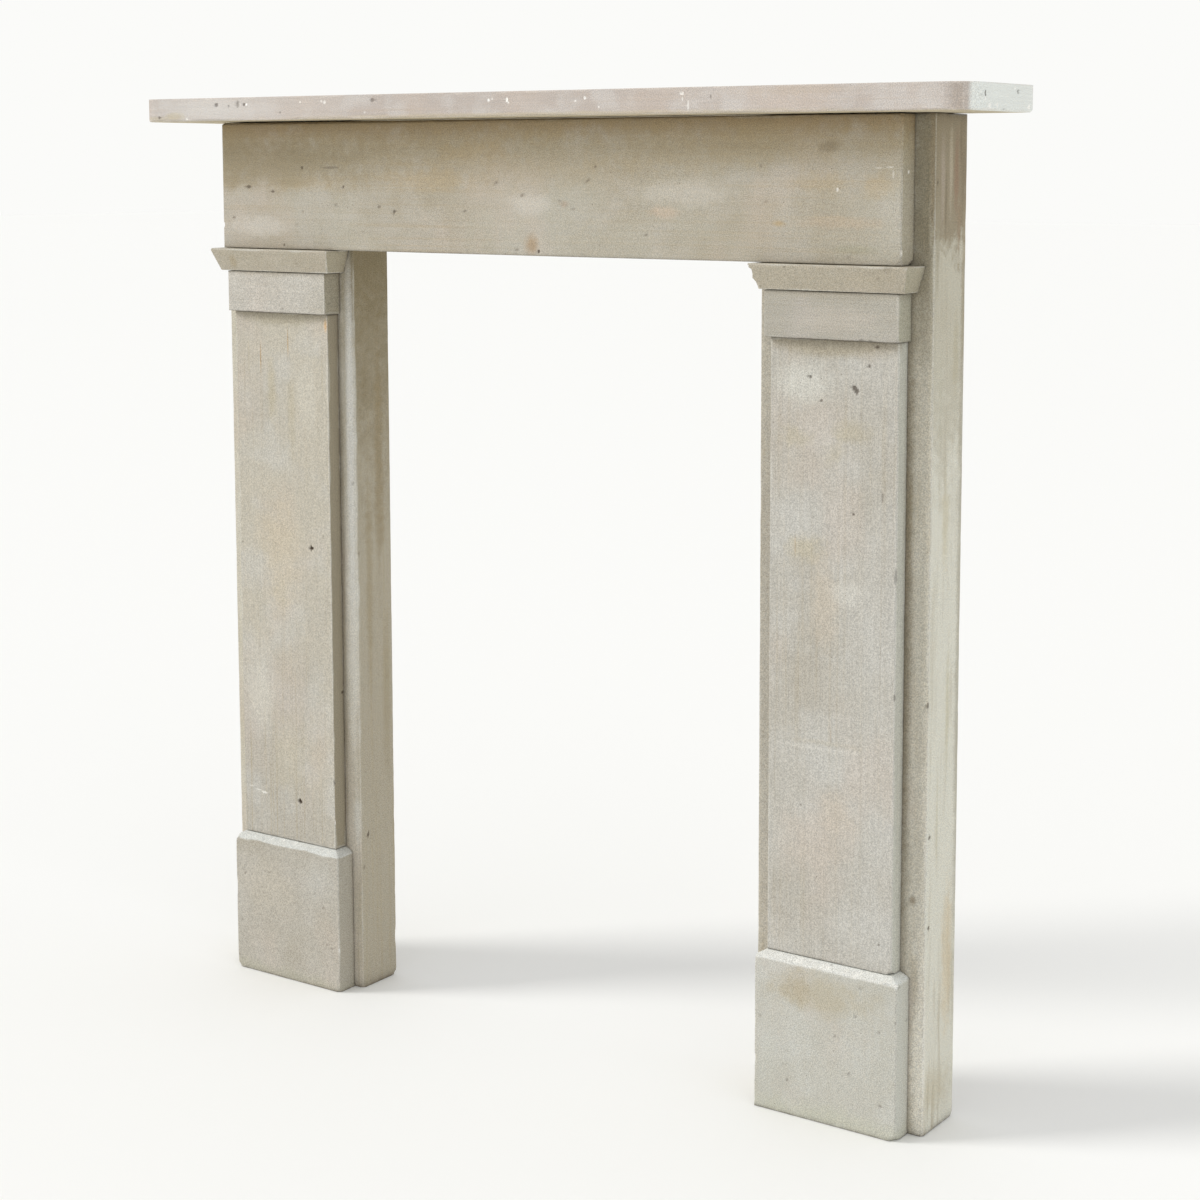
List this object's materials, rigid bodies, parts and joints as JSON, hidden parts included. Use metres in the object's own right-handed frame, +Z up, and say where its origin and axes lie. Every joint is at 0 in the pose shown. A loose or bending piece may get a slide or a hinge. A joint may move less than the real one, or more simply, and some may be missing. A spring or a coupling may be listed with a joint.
{
  "type": "stone fireplace surround",
  "caption": "Plain sandstone chimneypiece with flat pilasters, splayed caps, a straight frieze and a mantel shelf, framing a hearth opening.",
  "frame": {"origin": "on the floor, in the middle of the plan that the shelf covers", "axes": "+X to the right when facing the front, -Y towards the room (front), +Y towards the wall, +Z up"},
  "size_m": [1.25, 0.163, 1.22],
  "materials": {
    "shelf_stone": "matt rubbed sandstone, pinkish grey",
    "frieze_stone": "matt rubbed sandstone, buff, stained darker at the top",
    "jamb_stone": "matt tooled sandstone, greenish buff",
    "plinth_stone": "matt granular sandstone, grey",
    "shaft_stone": "matt rubbed sandstone, warm grey",
    "neck_stone": "matt rubbed sandstone, warm grey",
    "cap_stone": "matt rubbed sandstone, greenish grey"
  },
  "bodies": {
    "root": {"mantel_shelf": "shelf_stone", "frieze": "frieze_stone", "jamb_block_left": "jamb_stone", "jamb_block_right": "jamb_stone", "plinth_left": "plinth_stone", "plinth_right": "plinth_stone", "shaft_left": "shaft_stone", "shaft_right": "shaft_stone", "neck_block_left": "neck_stone", "neck_block_right": "neck_stone", "cap_left": "cap_stone", "cap_right": "cap_stone"}
  },
  "joints": []
}
